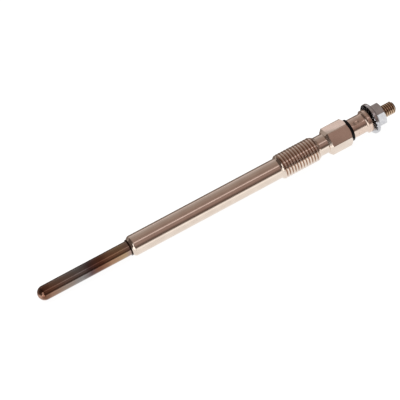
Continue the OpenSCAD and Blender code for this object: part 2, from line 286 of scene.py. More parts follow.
class StageSettings(bpy.types.PropertyGroup):
    """Camera and floor"""

    azimuth: angle("Azimuth", "Direction of the camera round the plug", -30.47)
    elevation: angle("Elevation", "Height of the camera above the horizon", 62.52)
    field: angle("Field", "Field of view", 14.27)
    station: length("Station", "Distance from the tip of the point that the framing is counted from", 0.0658)
    distance: length("Distance", "Distance of that point along the view", 0.48713)
    right: offset("Right", "Place of that point right of the middle", 0.008714)
    down: offset("Down", "Place of that point below the middle", -0.001708)
    floor: length("Floor", "Width of the floor", 6.0)


class GlowPlugSettings(bpy.types.PropertyGroup):
    """All settings of the glow plug"""

    tube: bpy.props.PointerProperty(name="Tube", type=TubeSettings)
    body: bpy.props.PointerProperty(name="Body", type=BodySettings)
    rod: bpy.props.PointerProperty(name="Rod", type=RodSettings)
    terminal: bpy.props.PointerProperty(name="Terminal", type=TerminalSettings)
    nut: bpy.props.PointerProperty(name="Nut", type=NutSettings)
    finish: bpy.props.PointerProperty(name="Finish", type=FinishSettings)
    stage: bpy.props.PointerProperty(name="Stage", type=StageSettings)


def own_settings(group):
    """The properties of a group, without those that every group has"""
    return [p for p in group.bl_rna.properties if p.identifier not in ("rna_type", "name")]


def in_mm(group):
    """A group's settings by name, with lengths in millimetres"""
    found = {}
    for p in own_settings(group):
        value = getattr(group, p.identifier)
        found[p.identifier] = value * MM if getattr(p, "unit", "NONE") == "LENGTH" else value
    return SimpleNamespace(**found)


def plug_sizes(context):
    """The settings in millimetres, with the stations along the axis worked out from them, and the colours"""
    plug = context.scene.glow_plug
    s = SimpleNamespace(
        tube=in_mm(plug.tube), body=in_mm(plug.body), rod=in_mm(plug.rod),
        terminal=in_mm(plug.terminal), nut=in_mm(plug.nut), colours=plug.finish,
    )
    b = s.body
    s.nose_u = s.tube.reach
    s.cone_u = s.nose_u + b.nose_land
    s.seat_u = s.cone_u + (b.shank_d - b.nose_d) / 2 / math.tan(b.seat_angle / 2)
    s.tube_end = s.nose_u + s.tube.hold
    s.thread_u = s.nose_u + b.nose_to_thread
    s.neck_u = s.thread_u + b.thread_len
    s.hex_u = s.neck_u + b.neck_len
    s.hex_end = s.hex_u + b.hex_len
    s.pocket_u = s.hex_end - b.pocket_depth
    s.sleeve_u = s.hex_end + s.terminal.bush_t
    s.sleeve_end = s.sleeve_u + s.terminal.sleeve_len
    s.nut_u = s.sleeve_end + s.nut.lead_gap
    s.nut_end = s.nut_u + s.nut.height
    s.stud_end = s.nut_end + s.rod.stud_reach
    return s


def axis_of_plug():
    """The tip of the glow tube and the rise of the plug's axis, from the frame"""
    thread = next(m for m in frame["record"]["mounts"] if m["name"] == "body_thread")
    way = -Vector(thread["axis"])
    middle = Vector(thread["pos_m"])
    tip_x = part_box("glow_tube")[0].x
    tip = middle + way * ((tip_x - middle.x) / way.x)
    return tip, math.asin(way.z)


# Modelling

def mode(name):
    """Goes to object mode or edit mode"""
    bpy.ops.object.mode_set(mode=name)


def fresh():
    """Object mode with nothing selected"""
    if bpy.context.mode != "OBJECT":
        mode("OBJECT")
    bpy.ops.object.select_all(action="DESELECT")


def pick(piece):
    """Makes a piece the only selected and active object"""
    fresh()
    piece.select_set(True)
    bpy.context.view_layer.objects.active = piece


def whole_mesh():
    """Selects all of the mesh in edit mode"""
    bpy.ops.mesh.select_all(action="SELECT")


def placed():
    """Puts the active object's place, turn and scale into its mesh"""
    bpy.ops.object.transform_apply(location=True, rotation=True, scale=True)


def softened(points):
    """A line of (radius, station) points where each corner that has a third number, its radius, is rounded"""
    line = []
    for i, p in enumerate(points):
        here = Vector(p[:2])
        if len(p) == 2 or i in (0, len(points) - 1):
            line.append(here)
            continue
        back = (Vector(points[i - 1][:2]) - here).normalized()
        on = (Vector(points[i + 1][:2]) - here).normalized()
        half = back.angle(on) / 2
        centre = here + (back + on).normalized() * (p[2] / math.sin(half))
        first = here + back * (p[2] / math.tan(half)) - centre
        last = here + on * (p[2] / math.tan(half)) - centre
        for k in range(CORNER_STEPS + 1):
            line.append(centre + first.slerp(last, k / CORNER_STEPS) * p[2])
    return [(v.x, v.y) for v in line]


def drawn(points):
    """A new object in edit mode: a chain of vertices through (radius, station) points"""
    fresh()
    bpy.ops.mesh.primitive_plane_add(size=1.0)
    mode("EDIT")
    bpy.ops.mesh.merge(type="CENTER")
    r, u = points[0]
    bpy.ops.transform.translate(value=(r, 0.0, u))
    for next_r, next_u in points[1:]:
        bpy.ops.mesh.extrude_region_move(TRANSFORM_OT_translate={"value": (next_r - r, 0.0, next_u - u)})
        r, u = next_r, next_u
    return bpy.context.object


def closed():
    """Merges doubles, turns the normals outwards and leaves edit mode"""
    whole_mesh()
    bpy.ops.mesh.remove_doubles(threshold=MERGE)
    bpy.ops.mesh.normals_make_consistent(inside=False)
    mode("OBJECT")


def turned(points):
    """A piece turned on the lathe from its half section"""
    piece = drawn(points)
    whole_mesh()
    bpy.ops.mesh.spin(steps=SIDES, angle=math.tau, center=(0, 0, 0), axis=(0, 0, 1))
    closed()
    return piece


def ringed(number):
    """Repeats the active object's mesh round the axis"""
    placed()
    mode("EDIT")
    whole_mesh()
    bpy.ops.mesh.spin(
        steps=number - 1, angle=math.tau * (number - 1) / number, dupli=True,
        center=(0, 0, 0), axis=(0, 0, 1),
    )
    mode("OBJECT")


def wound(crest, pitch, start, end, limit):
    """A thread between two stations: one pitch of its outline wound by a Screw modifier, then trimmed and
    capped. The limit gives the radius that a point at some radius and station may have."""
    depth = DEPTH_SHARE * pitch
    root = crest - depth
    half_root = ROOT_SHARE * pitch / 2
    rise = half_root + depth * TAN30
    low = start - pitch
    piece = drawn(softened([
        (root, low),
        (root, low + half_root, ROOT_ROUND * pitch),
        (crest, low + rise, CREST_ROUND * pitch),
        (crest, low + pitch - rise, CREST_ROUND * pitch),
        (root, low + pitch - half_root, ROOT_ROUND * pitch),
        (root, low + pitch),
    ]))
    mode("OBJECT")
    bpy.ops.object.modifier_add(type="SCREW")
    screw = piece.modifiers[-1]
    screw.axis = "Z"
    screw.angle = math.tau
    screw.screw_offset = pitch
    screw.iterations = math.ceil((end - start) / pitch) + SPARE_TURNS
    screw.steps = THREAD_SIDES
    screw.render_steps = THREAD_SIDES
    screw.use_merge_vertices = True
    screw.merge_threshold = MERGE
    bpy.ops.object.modifier_apply(modifier=screw.name)
    mode("EDIT")
    for station, side in ((start, "clear_inner"), (end, "clear_outer")):
        whole_mesh()
        bpy.ops.mesh.remove_doubles(threshold=MERGE)
        bpy.ops.mesh.bisect(
            plane_co=(0, 0, station), plane_no=(0, 0, 1), use_fill=True, threshold=MERGE, **{side: True}
        )
    mode("OBJECT")
    for v in piece.data.vertices:
        r = math.hypot(v.co.x, v.co.y)
        share = limit(r, v.co.z) / r
        v.co.x *= share
        v.co.y *= share
    mode("EDIT")
    closed()
    return piece


def hexagon(af, start, end, turn, edge, end_af=None):
    """A hexagonal bar with softened long edges and a corner at the given turn, which may widen to its end"""
    fresh()
    bpy.ops.mesh.primitive_cone_add(
        vertices=6, radius1=af / 2 / COS30, radius2=(end_af or af) / 2 / COS30,
        depth=end - start, location=(0, 0, (start + end) / 2),
    )
    bar = bpy.context.object
    corner = bar.data.vertices[0].co
    bar.rotation_euler.z = turn - math.atan2(corner.y, corner.x)
    placed()
    mode("EDIT")
    bpy.ops.mesh.select_mode(type="EDGE")
    bpy.ops.mesh.select_all(action="DESELECT")
    mode("OBJECT")
    ends = bar.data.vertices
    for e in bar.data.edges:
        a, b = e.vertices
        e.select = abs(ends[a].co.z - ends[b].co.z) > MERGE
    mode("EDIT")
    bpy.ops.mesh.bevel(offset=edge, segments=EDGE_STEPS, affect="EDGES")
    bpy.ops.mesh.select_mode(type="VERT")
    mode("OBJECT")
    return bar


def far_end(af, start, end, face_d, slope):
    """The turned form that chamfers the far end of a hexagonal bar down to a round face"""
    over = af / 2 / COS30 + PAST
    return turned([
        (0.0, start - PAST),
        (over, start - PAST),
        (over, end - (over - face_d / 2) * math.tan(slope)),
        (face_d / 2, end),
        (0.0, end),
    ])


def combined(piece, tool, how):
    """Applies a Boolean modifier to a piece and removes the tool"""
    pick(piece)
    bpy.ops.object.modifier_add(type="BOOLEAN")
    cut = piece.modifiers[-1]
    cut.operation = how
    cut.solver = "EXACT"
    cut.object = tool
    bpy.ops.object.modifier_apply(modifier=cut.name)
    bpy.data.objects.remove(tool)


def laid(piece, name, node, material, smooth=SMOOTH):
    """Lays a finished piece in the frame in place of its CAD node"""
    tip, rise = axis_of_plug()
    pick(piece)
    piece.name = name
    piece.data.name = name
    piece.location = tip
    piece.rotation_euler = (0.0, math.pi / 2 - rise, 0.0)
    piece.scale = (1 / MM, 1 / MM, 1 / MM)
    placed()
    bpy.ops.object.shade_smooth_by_angle(angle=math.radians(smooth))
    piece.data.materials.clear()
    piece.data.materials.append(material)
    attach(piece, "root")
    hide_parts(node)


# Materials

def cleared(owner):
    """The emptied node tree of a material or world"""
    owner.use_nodes = True
    owner.node_tree.nodes.clear()
    return owner.node_tree


def add(tree, kind, inputs=(), **settings):
    """Adds a shader node with its settings. Each input is given a value, or the socket that feeds it."""
    node = tree.nodes.new("ShaderNode" + kind)
    node.location.x = NODE_STEP * len(tree.nodes)
    for key, value in settings.items():
        setattr(node, key, value)
    for key, value in dict(inputs).items():
        if isinstance(value, bpy.types.NodeSocket):
            tree.links.new(value, node.inputs[key])
        else:
            node.inputs[key].default_value = value
    return node


def feed(tree, kind, output, inputs=(), **settings):
    """Adds a shader node and gives one of its outputs"""
    return add(tree, kind, inputs, **settings).outputs[output]


def ramp(tree, share, stops):
    """The colour at a share of a ramp with the given stops: (position, colour)"""
    node = add(tree, "ValToRGB", {"Fac": share})
    elements = node.color_ramp.elements
    while len(elements) > 1:
        elements.remove(elements[-1])
    elements[0].position, elements[0].color = stops[0]
    for position, value in stops[1:]:
        elements.new(position).color = value
    return node.outputs["Color"]


def tones(colours, kind):
    """The stops of a finish from its dark tone to its light one"""
    return [(NOISE_LOW, getattr(colours, kind + "_dark")), (NOISE_HIGH, getattr(colours, kind + "_light"))]


def shaded(tree, tint, parts, radius, near, far):
    """Tints with a painted shade: one shade on the near side of the plug, another on the far side and a
    change between them
    """
    side = feed(tree, "MapRange", "Result", {
        "Value": parts["Y"], "From Min": -radius, "From Max": radius, "To Min": near, "To Max": far,
    })
    return feed(tree, "VectorMath", "Vector", {0: tint, "Scale": side}, operation="SCALE")


def stained_and_shaded(tree, tint, plug, parts, below, above, stains_and_shades, mottle):
    """Tints that give way to mottled marks below a station and above a height: stains on the body's nose, and
    under the nut's flange a painted shade with specks of painted highlight
    """
    first = feed(tree, "Math", "Value", {0: parts["X"], 1: below}, operation="LESS_THAN")
    high = feed(tree, "MapRange", "Result", {
        "Value": parts["Z"], "From Min": above, "From Max": above + STAIN_AND_SHADE_FADE,
    })
    both = feed(tree, "Math", "Value", {0: first, 1: high}, operation="MULTIPLY")
    spots = feed(tree, "TexNoise", "Fac", {"Vector": plug, "Scale": mottle, "Detail": 1.0})
    return feed(tree, "Mix", MIX_OUT, {
        "Factor": both, MIX_A: tint, MIX_B: ramp(tree, spots, stains_and_shades),
    }, data_type="RGBA")


def painted_in_roots(tree, tint, plug, parts, first, last, bottom, top, root_shade_tone):
    """Tints that between two stations give way to a painted shade in the thread roots, from none at the top
    radius to all at the bottom
    """
    across = feed(tree, "VectorMath", "Vector", {0: plug, 1: (0.0, 1.0, 1.0)}, operation="MULTIPLY")
    radius = feed(tree, "VectorMath", "Value", {0: across}, operation="LENGTH")
    deep = feed(tree, "MapRange", "Result", {
        "Value": radius, "From Min": bottom, "From Max": top, "To Min": 1.0, "To Max": 0.0,
    })
    within = feed(tree, "Math", "Value", {
        0: parts["X"], 1: (first + last) / 2, 2: (last - first) / 2,
    }, operation="COMPARE")
    there = feed(tree, "Math", "Value", {0: deep, 1: within}, operation="MULTIPLY")
    return feed(tree, "Mix", MIX_OUT, {"Factor": there, MIX_A: tint, MIX_B: root_shade_tone}, data_type="RGBA")


def finish(
    name, tints, along=0.0, wander=0.0, metallic=1.0, rough=(0.2, 0.3), mottle=0.5, grain=(3.0, 3.0),
    relief=0.0, specular=0.5, painted_side_shade=None, stain_and_shade=None, painted_root_shade=None,
):
    """A finish on the plug's own axes, in millimetres. Its tints follow a mottle, or the station along the
    plug when a length is given, from which they wander a little. The roughness and a fine relief follow a
    grain, given per millimetre along and across the axis. The last three arguments hold what shaded, stained
    and dirtied need: a painted side shade, stains and painted shade, and painted shade in thread roots."""
    tip, rise = axis_of_plug()
    material = bpy.data.materials.new(name)
    tree = cleared(material)
    plug = feed(tree, "Mapping", "Vector", {
        "Vector": feed(tree, "TexCoord", "Object"),
        "Location": tip, "Rotation": (0.0, -rise, 0.0), "Scale": (1 / MM, 1 / MM, 1 / MM),
    }, vector_type="TEXTURE")
    parts = add(tree, "SeparateXYZ", {"Vector": plug}).outputs
    share = feed(tree, "TexNoise", "Fac", {"Vector": plug, "Scale": mottle, "Detail": 4.0, "Roughness": 0.55})
    if along:
        drift = feed(tree, "MapRange", "Result", {"Value": share, "To Min": -wander, "To Max": wander})
        station = feed(tree, "Math", "Value", {0: parts["X"], 1: drift}, operation="ADD")
        share = feed(tree, "Math", "Value", {0: station, 1: along}, operation="DIVIDE")
    tint = ramp(tree, share, tints)
    if painted_side_shade:
        tint = shaded(tree, tint, parts, **painted_side_shade)
    if stain_and_shade:
        tint = stained_and_shaded(tree, tint, plug, parts, **stain_and_shade)
    if painted_root_shade:
        tint = painted_in_roots(tree, tint, plug, parts, **painted_root_shade)
    stretch = feed(tree, "Mapping", "Vector", {"Vector": plug, "Scale": (grain[0], grain[1], grain[1])})
    fine = feed(tree, "TexNoise", "Fac", {"Vector": stretch, "Scale": 1.0, "Detail": 3.0, "Roughness": 0.6})
    dull = feed(tree, "MapRange", "Result", {
        "Value": fine, "From Min": NOISE_LOW, "From Max": NOISE_HIGH, "To Min": rough[0], "To Max": rough[1],
    })
    surface = {"Base Color": tint, "Roughness": dull, "Metallic": metallic, "Specular IOR Level": specular}
    if relief:
        surface["Normal"] = feed(tree, "Bump", "Normal", {
            "Height": fine, "Strength": 1.0, "Distance": relief / MM,
        })
    add(tree, "OutputMaterial", {"Surface": feed(tree, "BsdfPrincipled", "BSDF", surface)})
    return material


# Pieces

class GLOWPLUG_OT_tube(bpy.types.Operator):
    """Model the closed glow tube with its heat tints, a painted highlight at its tip and a painted shade that
    is lighter on its near side
    """

    bl_idname = "glowplug.tube"
    bl_label = "Model Glow Tube"

    def execute(self, context):
        s = plug_sizes(context)
        r = s.tube.diameter / 2
        core = r - s.tube.wall
        arc = [math.radians(90 * k / TIP_STEPS) for k in range(TIP_STEPS + 1)]
        outside = [(r * math.sin(a), r - r * math.cos(a)) for a in arc]
        inside = [(core * math.sin(a), r - core * math.cos(a)) for a in reversed(arc)]
        tube = turned(outside + [(r, s.tube_end), (core, s.tube_end)] + inside)
        tint = finish(
            "heat_tinted_tube", [(share, colour(*rgb)) for share, rgb in HEAT_TINTS_AND_TIP_HIGHLIGHT],
            along=s.nose_u, wander=2.5, rough=(0.1, 0.2), mottle=0.35, grain=(1.2, 6.0), relief=0.0015,
            # Painted shade: the tube's tints are lighter on its near side and darker on its far side
            painted_side_shade=dict(radius=r, near=1.2, far=0.6),
        )
        laid(tube, "glow_tube_tinted", "glow_tube", tint)
        return {"FINISHED"}


class GLOWPLUG_OT_body(bpy.types.Operator):
    """Model the turned body with its thread and hexagon"""

    bl_idname = "glowplug.body"
    bl_label = "Model Body"

    def execute(self, context):
        s = plug_sizes(context)
        b = s.body
        shank, crest, neck = b.shank_d / 2, b.thread_d / 2, b.neck_d / 2
        end_slope = math.tan(b.thread_end_angle)
        middle = (s.thread_u + s.neck_u) / 2
        hex_mid = (s.hex_u + s.hex_end) / 2
        body = turned(softened([
            (0.0, s.nose_u),
            (b.nose_d / 2, s.nose_u, NOSE_EDGE),
            (b.nose_d / 2, s.cone_u),
            (shank, s.seat_u, SEAT_EDGE),
            (shank, middle),
            (neck, middle),
            (neck, hex_mid),
            (0.0, hex_mid),
        ]))

        step = crest - shank

        def limit(r, u):
            formed = min(1.0, max(0.0, (u - s.thread_u - step / 2) / b.run_in))
            r = max(r, crest - DEPTH_SHARE * b.thread_pitch * formed)
            past_half = min(step, max(0.0, u - s.thread_u - step / 2))
            lead_in = shank + min(u - s.thread_u, step / 2) + past_half - past_half ** 2 / (2 * step)
            return min(r, lead_in, neck + (s.neck_u - u) * end_slope)

        thread = wound(crest, b.thread_pitch, s.thread_u - SUNK, s.neck_u + SUNK, limit)
        combined(body, thread, "UNION")
        bar = hexagon(b.hex_af, s.hex_u - PAST, s.hex_end, b.hex_turn, b.hex_edge)
        combined(bar, far_end(b.hex_af, s.hex_u - PAST, s.hex_end, b.hex_face_d, b.hex_chamfer), "INTERSECT")
        widening = (b.hex_af - b.hex_base_af) / b.hex_taper
        top_af = b.hex_base_af + widening * (b.hex_len + PAST)
        taper = hexagon(b.hex_base_af, s.hex_u, s.hex_end + PAST, b.hex_turn, b.hex_edge, top_af)
        combined(bar, taper, "INTERSECT")
        combined(body, bar, "UNION")
        hold, bore, pocket = s.tube.diameter / 2 + FIT, b.bore_d / 2, b.pocket_d / 2
        drill = turned([
            (0.0, s.nose_u - PAST),
            (hold, s.nose_u - PAST),
            (hold, s.tube_end + FIT),
            (bore, s.tube_end + FIT),
            (bore, s.pocket_u),
            (pocket, s.pocket_u),
            (pocket, s.hex_end + PAST),
            (0.0, s.hex_end + PAST),
        ])
        combined(body, drill, "DIFFERENCE")
        nickel = finish(
            "nickel_plate", tones(s.colours, "nickel"),
            rough=(0.1, 0.18), mottle=0.25, grain=(9.0, 0.5), relief=0.001,
            stain_and_shade=dict(below=s.cone_u, above=-2 * shank, stains_and_shades=tones(s.colours, "burnt"), mottle=1.0),
            # Painted shade in the roots of the body's thread
            painted_root_shade=dict(
                first=s.thread_u + step, last=s.neck_u - (crest - neck) / end_slope + b.thread_pitch / 2,
                bottom=crest - DEPTH_SHARE * b.thread_pitch, top=crest - BODY_UNSHADED, root_shade_tone=s.colours.groove,
            ),
        )
        laid(body, "body_threaded", "body", nickel, BODY_SMOOTH)
        return {"FINISHED"}


class GLOWPLUG_OT_rod(bpy.types.Operator):
    """Model the centre rod with its threaded stud"""

    bl_idname = "glowplug.rod"
    bl_label = "Model Centre Rod"

    def execute(self, context):
        s = plug_sizes(context)
        d = s.rod
        pin, pole, rod, crest = d.pin_d / 2, d.pole_d / 2, d.rod_d / 2, d.stud_d / 2
        shoulder = s.pocket_u - d.stud_land
        plain_end = s.sleeve_u + d.stud_plain
        core = crest - DEPTH_SHARE * d.stud_pitch - FIT
        piece = turned([
            (0.0, d.pin_start),
            (pin, d.pin_start),
            (pin, d.pole_start),
            (pole, d.pole_start),
            (pole, s.tube_end + d.step),
            (rod, s.tube_end + d.step),
            (rod, shoulder),
            (crest, shoulder),
            (crest, plain_end),
            (core, plain_end + crest - core),
            (core, s.stud_end - SUNK),
            (0.0, s.stud_end - SUNK),
        ])

        def limit(r, u):
            return min(r, core - SUNK + u - plain_end, crest - d.stud_chamfer + s.stud_end - u)

        thread = wound(crest, d.stud_pitch, plain_end, s.stud_end, limit)
        combined(piece, thread, "UNION")
        steel = finish(
            "dark_steel", tones(s.colours, "steel"),
            rough=(0.18, 0.3), mottle=1.2, grain=(4.0, 4.0), relief=0.003,
            # Painted shade in the roots of the stud's thread
            painted_root_shade=dict(
                first=plain_end, last=s.stud_end, bottom=core, top=crest - STUD_UNSHADED,
                root_shade_tone=s.colours.stud_groove,
            ),
        )
        laid(piece, "centre_rod_threaded", "centre_rod", steel)
        return {"FINISHED"}


class GLOWPLUG_OT_bush(bpy.types.Operator):
    """Model the black insulating bush"""

    bl_idname = "glowplug.bush"
    bl_label = "Model Insulating Bush"

    def execute(self, context):
        s = plug_sizes(context)
        t = s.terminal
        inner, spigot, flange = s.rod.stud_d / 2 + FIT, s.body.pocket_d / 2 - FIT, t.bush_d / 2
        seal = s.body.pocket_d / 2 - s.rod.stud_d / 2
        bush = turned(softened([
            (inner, s.pocket_u + seal),
            (spigot, s.pocket_u + seal),
            (spigot, s.hex_end),
            (flange, s.hex_end, t.edge),
            (flange, s.sleeve_u, t.edge),
            (inner, s.sleeve_u),
            (inner, s.pocket_u + seal),
        ]))
        black = finish(
            "black_insulator", tones(s.colours, "insulator"), metallic=0.0, specular=0.12,
            rough=(0.4, 0.55), mottle=1.5, grain=(5.0, 5.0), relief=0.004,
        )
        laid(bush, "insulating_bush_moulded", "insulating_bush", black)
        return {"FINISHED"}


class GLOWPLUG_OT_sleeve(bpy.types.Operator):
    """Model the crimped terminal sleeve with its flared collar"""

    bl_idname = "glowplug.sleeve"
    bl_label = "Model Terminal Sleeve"

    def execute(self, context):
        s = plug_sizes(context)
        t = s.terminal
        inner, outer, collar = s.rod.stud_d / 2 + FIT, t.sleeve_d / 2, t.collar_d / 2
        flare_u = s.sleeve_end - t.collar_len - t.flare_len
        rise = collar - outer
        flare = (rise * rise + t.flare_len * t.flare_len) / (2 * rise)
        sweep = math.asin(t.flare_len / flare)
        turns = [sweep * k / FLARE_STEPS for k in range(FLARE_STEPS + 1)]
        curve = [(outer + flare - flare * math.cos(a), flare_u + flare * math.sin(a)) for a in turns]
        groove_u = s.sleeve_end - t.groove_offset
        low, high = groove_u - t.groove_w / 2, groove_u + t.groove_w / 2
        sleeve = turned(softened([
            (inner, s.sleeve_u),
            (outer, s.sleeve_u, t.edge),
            *curve,
            (collar, low),
            (collar - t.groove_depth, low),
            (collar - t.groove_depth, high),
            (collar, high),
            (collar, s.sleeve_end, t.edge),
            (inner, s.sleeve_end),
            (inner, s.sleeve_u),
        ]))
        fresh()
        away = outer + t.crimp_radius - t.crimp_depth
        bpy.ops.mesh.primitive_uv_sphere_add(
            segments=PUNCH_SEGMENTS, ring_count=PUNCH_RINGS, radius=t.crimp_radius,
            location=(
                away * math.cos(t.crimp_turn), away * math.sin(t.crimp_turn), s.sleeve_u + t.crimp_offset,
            ),
        )
        punches = bpy.context.object
        ringed(t.crimps)
        combined(sleeve, punches, "DIFFERENCE")
        nickel = finish(
            "sleeve_nickel", tones(s.colours, "sleeve"),
            rough=(0.16, 0.28), mottle=0.6, grain=(6.0, 1.0), relief=0.002,
        )
        laid(sleeve, "terminal_sleeve_crimped", "terminal_sleeve", nickel)
        return {"FINISHED"}


class GLOWPLUG_OT_nut(bpy.types.Operator):
    """Model the flange nut with its serrations"""

    bl_idname = "glowplug.nut"
    bl_label = "Model Flange Nut"

    def execute(self, context):
        s = plug_sizes(context)
        n = s.nut
        bore, flange = s.rod.stud_d / 2 + FIT, n.flange_d / 2
        top_u = s.nut_u + n.flange_t
        rise = (flange - s.rod.stud_d / 2) * math.tan(n.flange_slope)
        nut = turned(softened([
            (0.0, s.nut_u),
            (flange - n.flange_edge, s.nut_u),
            (flange, s.nut_u + n.flange_edge, n.rim),
            (flange, top_u, n.rim),
            (s.rod.stud_d / 2, top_u + rise),
            (0.0, top_u + rise),
        ]))
        bar_u = s.nut_u + n.flange_t / 2
        bar = hexagon(n.af, bar_u, s.nut_end, n.turn, n.edge)
        combined(bar, far_end(n.af, bar_u, s.nut_end, n.face_d, n.chamfer), "INTERSECT")
        combined(nut, bar, "UNION")
        ring = n.serration_d / 2
        sink = n.countersink - FIT
        drill = turned([
            (0.0, s.nut_u - PAST),
            (ring, s.nut_u - PAST),
            (ring, s.nut_u + n.recess),
            (bore, s.nut_u + n.recess),
            (bore, s.nut_end - sink),
            (bore + sink + PAST, s.nut_end + PAST),
            (0.0, s.nut_end + PAST),
        ])
        combined(nut, drill, "DIFFERENCE")
        combined(nut, self.teeth(n, s.nut_u), "DIFFERENCE")
        zinc = finish(
            "zinc_plate", tones(s.colours, "zinc"),
            rough=(0.16, 0.26), mottle=1.0, grain=(4.0, 4.0), relief=0.003,
            # Painted shade under the upper half of the flange's underside, with specks of painted highlight
            stain_and_shade=dict(
                below=s.nut_u + n.flange_edge, above=0.0, mottle=2.4,
                stains_and_shades=[(SHADE_LEVEL, s.colours.flange_shade), (HIGHLIGHT_LEVEL, s.colours.flange_speck_highlight)],
            ),
        )
        laid(nut, "flange_nut_serrated", "flange_nut", zinc)
        return {"FINISHED"}

    def teeth(self, n, nut_u):
        """The wedges that cut the serrations, one drawn and the rest spun round"""
        half = PAST / 2
        width = math.pi * n.serration_d / n.serrations * n.serration_share
        reach = n.flange_d / 2 - n.serration_d / 2 + 2 * half
        cutter = drawn([
            (0.0, nut_u - half), (width, nut_u - half), (width, nut_u), (0.0, nut_u + n.serration_depth),
        ])
        whole_mesh()
        bpy.ops.mesh.edge_face_add()
        bpy.ops.mesh.extrude_region_move(TRANSFORM_OT_translate={"value": (0.0, -reach, 0.0)})
        whole_mesh()
        bpy.ops.mesh.normals_make_consistent(inside=False)
        mode("OBJECT")
        cutter.rotation_euler.z = math.pi / 2
        cutter.location = (n.serration_d / 2 - half, 0.0, 0.0)
        ringed(n.serrations)
        return cutter


class GLOWPLUG_OT_inside(bpy.types.Operator):
    """Finish the pieces inside the plug, which keep their CAD form"""

    bl_idname = "glowplug.inside"
    bl_label = "Finish Inner Pieces"

    def execute(self, context):
        colours = context.scene.glow_plug.finish
        wire = dict(mottle=2.0, grain=(8.0, 8.0), relief=0.002)
        heater = finish("heater_wire", tones(colours, "heater"), rough=(0.3, 0.45), **wire)
        control = finish("control_wire", tones(colours, "control"), rough=(0.25, 0.4), **wire)
        magnesia = finish(
            "magnesia", tones(colours, "magnesia"), metallic=0.0,
            rough=(0.75, 0.95), mottle=1.5, grain=(10.0, 10.0), relief=0.03,
        )
        rubber = finish(
            "seal_rubber", tones(colours, "rubber"), metallic=0.0,
            rough=(0.55, 0.75), mottle=1.5, grain=(8.0, 8.0), relief=0.01,
        )
        for node, slot, material in (
            ("heating_coil", "heater_wire", heater),
            ("regulating_coil", "control_wire", control),
            ("magnesia_filling", "magnesia", magnesia),
            ("tube_seal", "seal_rubber", rubber),
            ("o_ring", "seal_rubber", rubber),
        ):
            piece = frame["nodes"][node]
            piece.data.materials.clear()
            piece.data.materials.append(material)
        return {"FINISHED"}


# Stage

WHITE = (1.0, 1.0, 1.0, 1.0)
# Colour of the floor, its depth below the plug, and how much and how strongly it shines for the camera
PAPER = (0.9, 0.9, 0.9, 1.0)
FLOOR_DROP = 0.00002
SHINE_SHARE, SHINE = 0.86, 1.1
# Colour and strength of the light from all round on dull surfaces
SOFT, SOFT_STRENGTH = (1.0, 0.98, 0.96, 1.0), 0.55

# Light that the metal reflects, by degrees from the near horizon over the top to the far one
SURROUNDINGS = [
    (0, (1.05, 1.05, 1.05)), (6, (1.25, 1.25, 1.25)), (13, (1.25, 1.25, 1.25)), (17, (0.8, 0.78, 0.76)),
    (24, (0.13, 0.09, 0.075)), (37, (0.14, 0.10, 0.085)), (48, (0.27, 0.19, 0.17)),
    (58, (0.375, 0.265, 0.235)), (66, (0.32, 0.23, 0.205)), (77, (0.34, 0.26, 0.24)),
    (80.5, (0.95, 0.80, 0.78)), (85.5, (0.95, 0.80, 0.78)), (89.5, (0.34, 0.26, 0.24)),
    (104, (0.32, 0.24, 0.21)), (125, (0.38, 0.305, 0.275)), (140, (0.38, 0.315, 0.29)),
    (150, (0.44, 0.385, 0.36)), (158, (0.50, 0.45, 0.43)), (164, (0.46, 0.42, 0.41)),
    (171, (0.46, 0.42, 0.41)), (175.5, (0.9, 0.8, 0.8)), (180, (0.9, 0.8, 0.8)),
]
BRIGHTEST = 1.25

# Light of the floor in the metal, by the distance behind the plug in metres; it darkens from 2 mm behind the
# plug, a painted shade of the plug
MIRRORED_FLOOR = [
    (0.0, (1.0, 1.0, 1.0)), (0.002, (0.8, 0.76, 0.74)), (0.005, (0.22, 0.18, 0.16)),
    (0.022, (0.22, 0.18, 0.16)), (0.04, (0.46, 0.41, 0.385)),
]
MIRRORED_DEPTH = 0.05

# How far the two ends of the surroundings are dark, by the share of a direction that runs along the plug
ENDS = [(-0.4, 1.0), (0.0, 0.0), (0.42, 0.0), (0.6, 1.0)]
END_SHADES = [(-0.4, (0.10, 0.075, 0.065)), (0.4, (0.22, 0.17, 0.15))]

# Place, turn in degrees, width and power of the lamp that casts the shadow
KEY_PLACE, KEY_TURN = (-0.15, 0.35, 0.9), (-21, -9, 0)
KEY_WIDTH, KEY_POWER = 0.7, 8.0

# Lamps that only the metal shows: name, direction, width, height and power
GLINTS = [
    ("high_glint", (-0.62, -0.28, 0.73), 0.38, 0.38, 0.45),
    ("low_glint", (-0.72, -0.66, 0.24), 0.55, 0.5, 1.1),
]
GLINT_DISTANCE = 0.7

# Width of the camera's sensor in millimetres and its nearest distance in metres
SENSOR, CLIP_START = 36.0, 0.01


